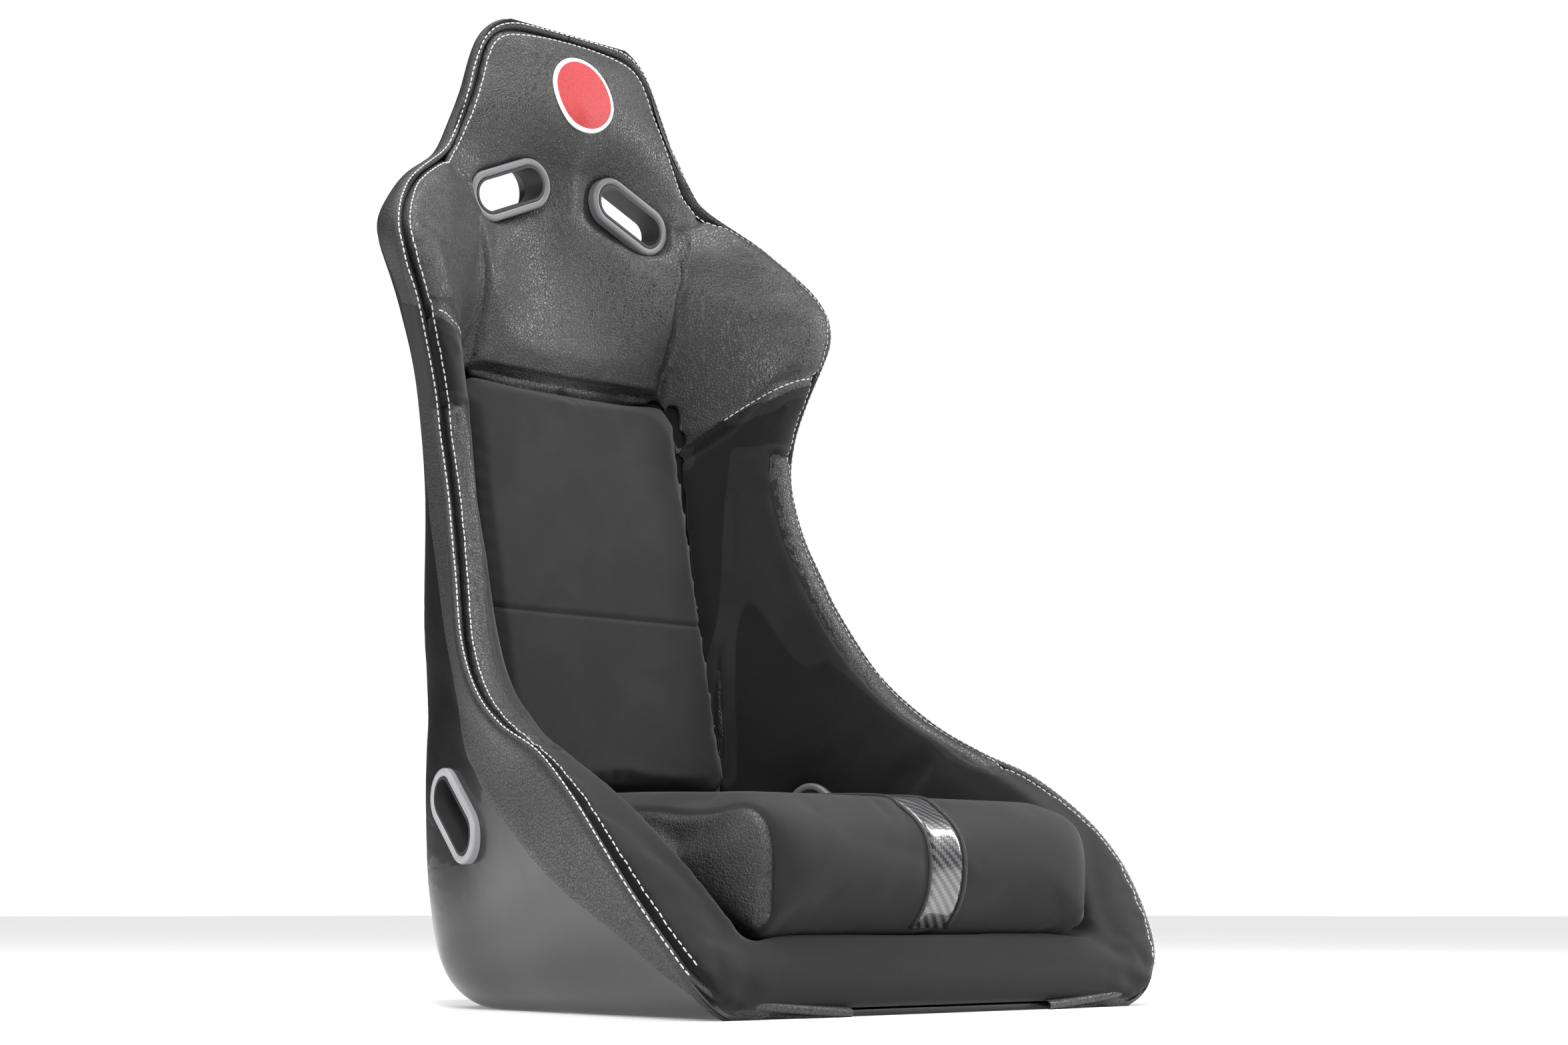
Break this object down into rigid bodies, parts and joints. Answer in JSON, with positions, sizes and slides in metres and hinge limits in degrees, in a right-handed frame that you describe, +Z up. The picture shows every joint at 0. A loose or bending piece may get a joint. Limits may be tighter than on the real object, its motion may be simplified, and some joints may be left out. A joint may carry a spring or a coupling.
{
  "type": "racing seat",
  "caption": "Fixed-back bucket racing seat: moulded shell, leather and suede pads, harness slots at shoulders and hips, lift-out seat cushion and back pad.",
  "frame": {"origin": "centre of the seat's bounding box, on the floor plane that the base rests on", "axes": "+Z up along the backrest, the sitter faces -Y, the seat is symmetric about the plane x = 0"},
  "size_m": [0.6232, 0.5242, 0.905],
  "materials": {
    "shell_gloss": "gloss",
    "leather_black": "satin",
    "suede_black": "matte",
    "bezel_grey": "satin",
    "liner_black": "matte",
    "foam_grey": "matte",
    "carbon_weave": "gloss",
    "piping_black": "satin",
    "badge_red": "matte",
    "tape_black": "matte",
    "zinc_steel": "satin"
  },
  "bodies": {
    "seat": {"shell": "shell_gloss", "base_inserts": "zinc_steel", "upper_back_panel": "leather_black", "headrest_badge": "badge_red", "seat_base_foam": "foam_grey", "front_roll": "suede_black", "back_foam": "foam_grey", "base_loop_tapes": "tape_black", "back_loop_tapes": "tape_black", "edge_band_left": "leather_black", "edge_band_right": "leather_black", "shoulder_wing_left": "leather_black", "shoulder_wing_right": "leather_black", "side_pad_left": "suede_black", "side_pad_right": "suede_black", "bolster_left": "leather_black", "bolster_right": "leather_black", "thigh_pad_left": "suede_black", "thigh_pad_right": "suede_black", "shoulder_slot_liner_left": "liner_black", "shoulder_slot_liner_right": "liner_black", "hip_slot_liner_left": "liner_black", "hip_slot_liner_right": "liner_black", "shoulder_bezel_front_left": "bezel_grey", "shoulder_bezel_front_right": "bezel_grey", "shoulder_bezel_rear_left": "bezel_grey", "shoulder_bezel_rear_right": "bezel_grey", "hip_bezel_outer_left": "bezel_grey", "hip_bezel_outer_right": "bezel_grey", "hip_bezel_inner_left": "bezel_grey", "hip_bezel_inner_right": "bezel_grey"},
    "cushion": {"cushion_strip": "carbon_weave", "cushion_foam": "foam_grey", "cushion_hook_tapes": "tape_black", "cushion_end_left": "leather_black", "cushion_piping_left": "piping_black", "cushion_cover_left": "suede_black", "cushion_end_right": "leather_black", "cushion_piping_right": "piping_black", "cushion_cover_right": "suede_black"},
    "back_pad": {"back_pad_upper": "suede_black", "back_pad_lower": "suede_black", "back_pad_foam": "foam_grey", "back_pad_hook_tapes": "tape_black"}
  },
  "joints": [
    {"name": "cushion_lift_out", "type": "slide", "parent": "seat", "child": "cushion", "axis": [0, -0.866, 0.5], "range_m": [0, 0.3]},
    {"name": "back_pad_pull_off", "type": "slide", "parent": "seat", "child": "back_pad", "axis": [0, -0.9789, 0.2045], "range_m": [0, 0.1]}
  ]
}
